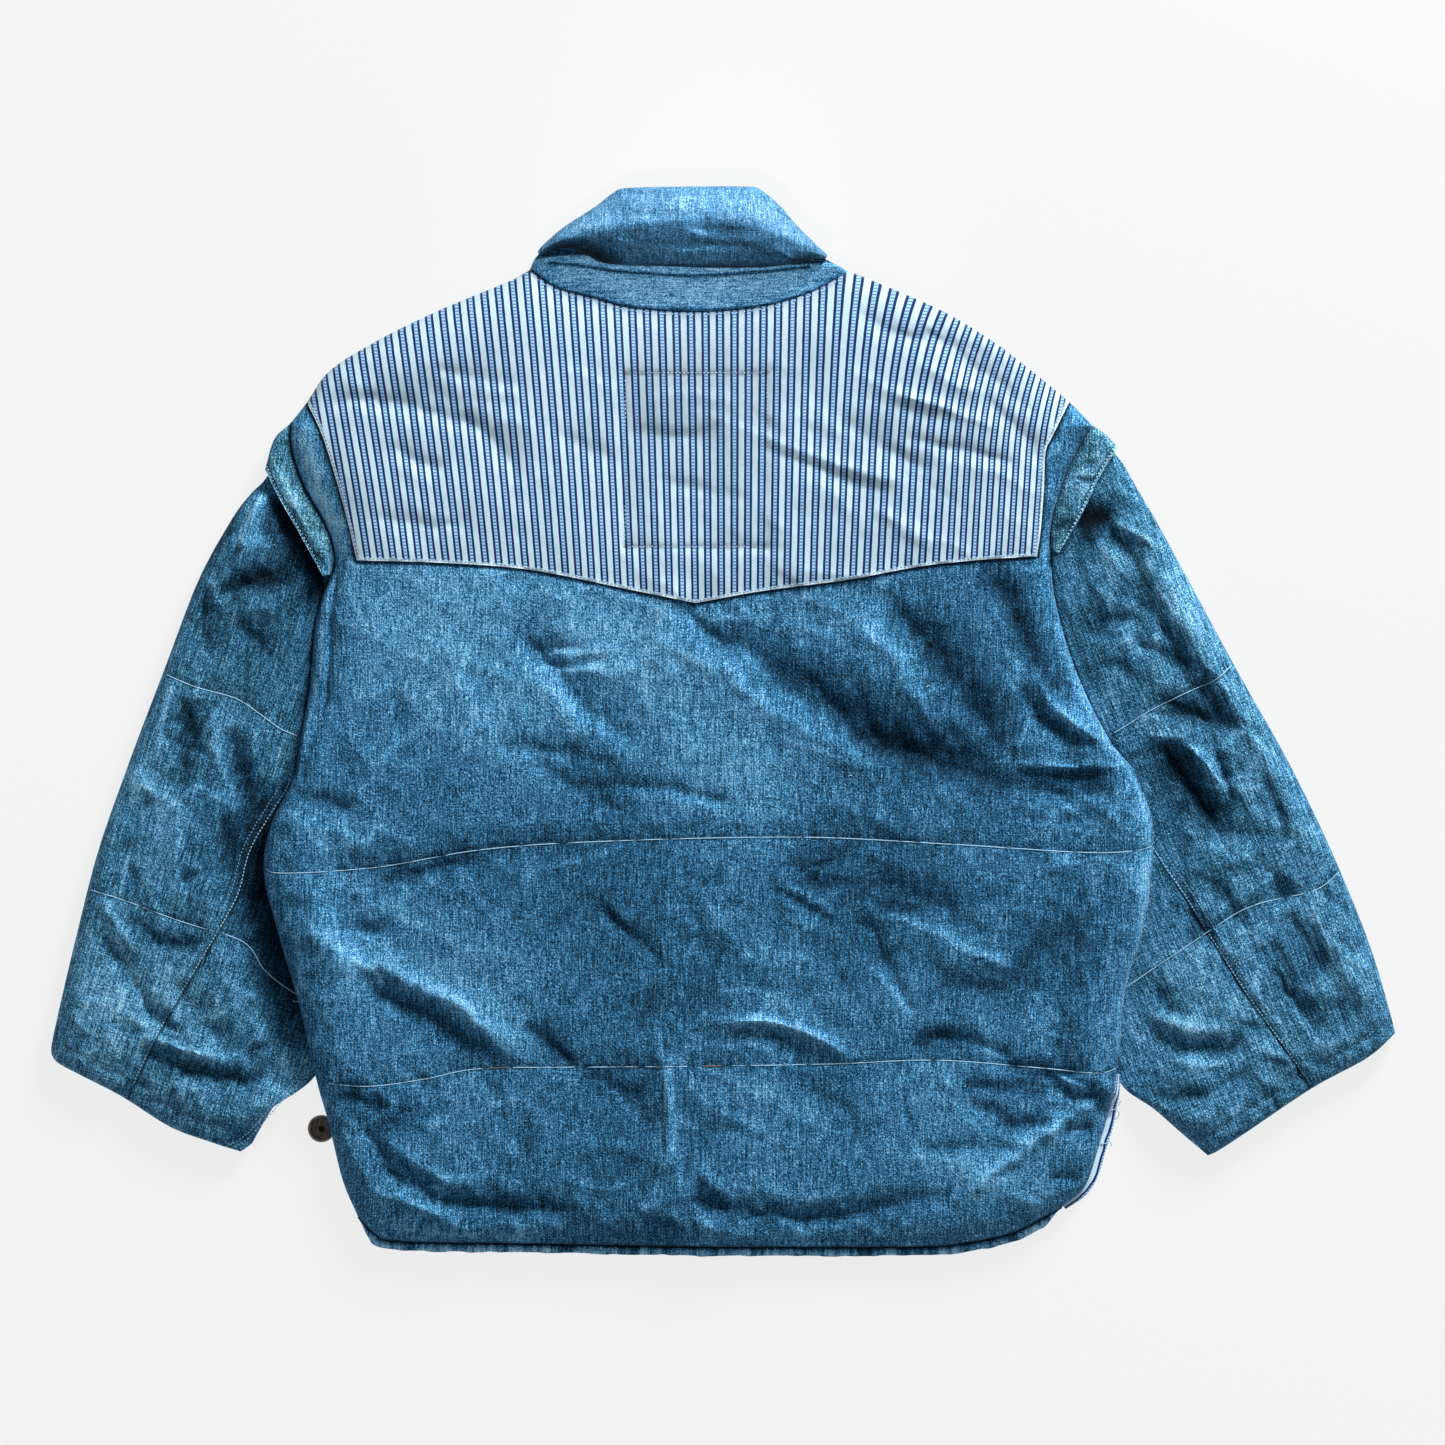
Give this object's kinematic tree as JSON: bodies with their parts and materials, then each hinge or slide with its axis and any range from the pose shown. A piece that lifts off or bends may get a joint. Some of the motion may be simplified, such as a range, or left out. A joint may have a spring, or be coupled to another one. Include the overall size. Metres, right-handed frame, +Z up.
{
  "type": "denim puffer jacket",
  "caption": "Oversized padded denim jacket laid flat face down, with a puffy collar, a pointed ticking yoke, capped shoulders, quilted back and quilted sleeves.",
  "frame": {"origin": "middle of the jacket's footprint, on the surface that it lies on", "axes": "+X to the right across the back, +Y from the hem towards the collar, +Z up from the surface, out of the back"},
  "size_m": [0.9795, 0.7798, 0.037],
  "materials": {
    "denim_body": "washed mid-blue denim, matt",
    "denim_sleeve": "washed mid-blue denim, matt",
    "denim_collar": "washed light-blue denim, matt",
    "denim_cap": "washed denim, matt",
    "ticking": "woven ticking stripe in navy, light blue and white, matt",
    "horn": "dark horn-like resin, satin"
  },
  "bodies": {
    "root": {"back_panel": "denim_body", "back_yoke": "ticking", "front_left": "denim_body", "front_right": "denim_body", "hem_binding_back": "denim_body", "hem_binding_front_left": "denim_body", "hem_binding_front_right": "denim_body", "vent_facing_right": "ticking", "sleeve_left_outer": "denim_sleeve", "sleeve_left_under": "denim_sleeve", "sleeve_right_outer": "denim_sleeve", "sleeve_right_under": "denim_sleeve", "cap_left": "denim_cap", "cap_right": "denim_cap", "collar_band": "denim_collar", "collar_fall": "denim_collar", "side_button": "horn", "front_button_1": "horn", "front_button_2": "horn", "front_button_3": "horn", "front_button_4": "horn", "front_button_5": "horn"}
  },
  "joints": []
}
